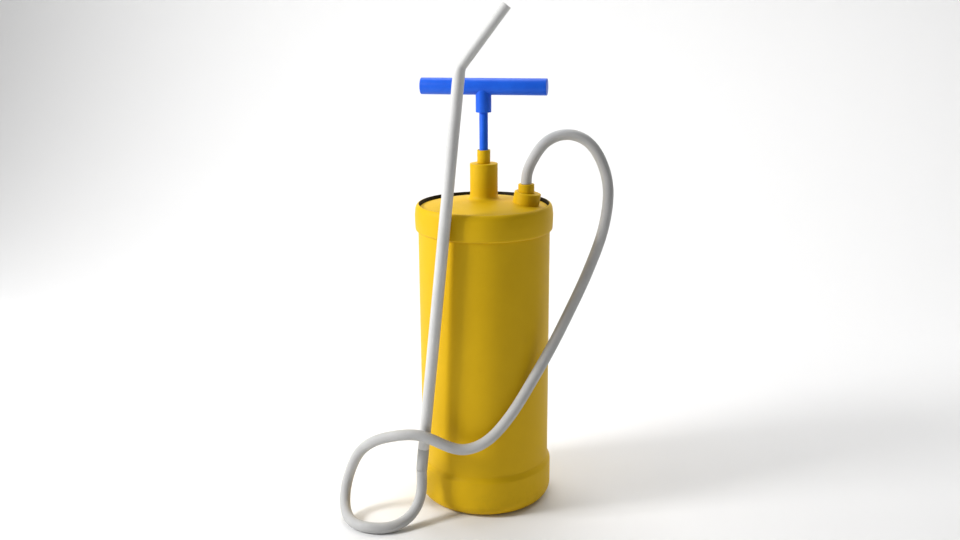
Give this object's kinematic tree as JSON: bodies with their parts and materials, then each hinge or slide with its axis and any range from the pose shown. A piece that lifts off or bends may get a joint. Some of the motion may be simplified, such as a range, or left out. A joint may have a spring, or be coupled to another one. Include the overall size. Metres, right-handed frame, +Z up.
{
  "type": "compression sprayer",
  "caption": "Round steel pressure tank with a T-handled hand pump, a tilted outlet boss, a flexible hose and a long bent spray wand that leans on the tank.",
  "frame": {"origin": "on the tank's axis, on the floor under the base cup", "axes": "+Z up along the tank's axis, +X towards the hose outlet and along the T-handle's bar, -Y towards the side where the wand leans"},
  "size_m": [0.3556, 0.26, 0.6872],
  "materials": {
    "yellow_paint": "semi-matt yellow powder coat",
    "blue_plastic": "smooth semi-matt blue",
    "hose_grey": "matt light grey, slightly soft",
    "wand_grey": "smooth semi-matt light grey",
    "sleeve_grey": "matt mid grey",
    "black_rubber": "matt",
    "oiled_leather": "oiled, dark",
    "zinc_steel": "bright zinc plate",
    "brass": "turned",
    "natural_plastic": "unpainted, off-white"
  },
  "bodies": {
    "tank": {"tank_wall": "yellow_paint", "tank_bottom": "yellow_paint", "tank_head": "yellow_paint", "base_cup": "yellow_paint", "top_ring": "yellow_paint", "outlet_boss": "yellow_paint", "outlet_gasket": "black_rubber", "gland_nut": "yellow_paint", "hose_nipple": "brass", "dip_tube": "natural_plastic", "dip_strainer": "natural_plastic", "hose": "hose_grey", "hose_sleeve": "sleeve_grey", "wand_joiner": "brass", "wand_tube": "wand_grey", "wand_elbow": "wand_grey", "tip_tube": "wand_grey", "nozzle_body": "wand_grey", "nozzle_seal": "black_rubber"},
    "pump": {"pump_barrel": "natural_plastic", "neck_gasket": "black_rubber", "barrel_foot": "natural_plastic", "valve_cage": "natural_plastic", "valve_spring": "zinc_steel"},
    "cap": {"pump_cap": "yellow_paint", "guide_nut": "yellow_paint", "rod_bush": "natural_plastic", "rod_wiper": "black_rubber"},
    "valve": {"check_valve_disc": "black_rubber"},
    "piston": {"piston_cup": "oiled_leather", "piston_expander": "natural_plastic", "piston_washer": "zinc_steel"},
    "handle": {"pump_rod": "blue_plastic", "piston_nut": "brass", "rod_bumper": "black_rubber", "handle_socket": "blue_plastic", "handle_bar": "blue_plastic", "bar_plug_left": "blue_plastic", "bar_plug_right": "blue_plastic", "handle_pin": "zinc_steel"},
    "nozzle": {"nozzle_cap": "wand_grey", "swirl_disc": "brass"}
  },
  "joints": [
    {"name": "pump_lift", "type": "slide", "parent": "tank", "child": "pump", "axis": [0, 0, 1], "range_m": [0, 0.33]},
    {"name": "cap_turn", "type": "hinge", "parent": "pump", "child": "cap", "pos_m": [0, 0, 0.465], "axis": [0, 0, 1], "range_deg": [0, 900]},
    {"name": "valve_travel", "type": "slide", "parent": "pump", "child": "valve", "axis": [0, 0, 1], "range_m": [-0.0025, 0], "stiffness_N_per_m": 60, "springref_m": 0.002, "deforming": ["valve_spring"]},
    {"name": "pump_stroke", "type": "slide", "parent": "pump", "child": "piston", "axis": [0, 0, 1], "range_m": [-0.0495, 0.213]},
    {"name": "handle_turn", "type": "hinge", "parent": "piston", "child": "handle", "pos_m": [0, 0, 0.5], "axis": [0, 0, 1], "continuous": true},
    {"name": "nozzle_turn", "type": "hinge", "parent": "tank", "child": "nozzle", "pos_m": [0.0479, -0.0894, 0.6839], "axis": [0.6017, 0.0777, 0.7949], "range_deg": [0, 270]}
  ]
}
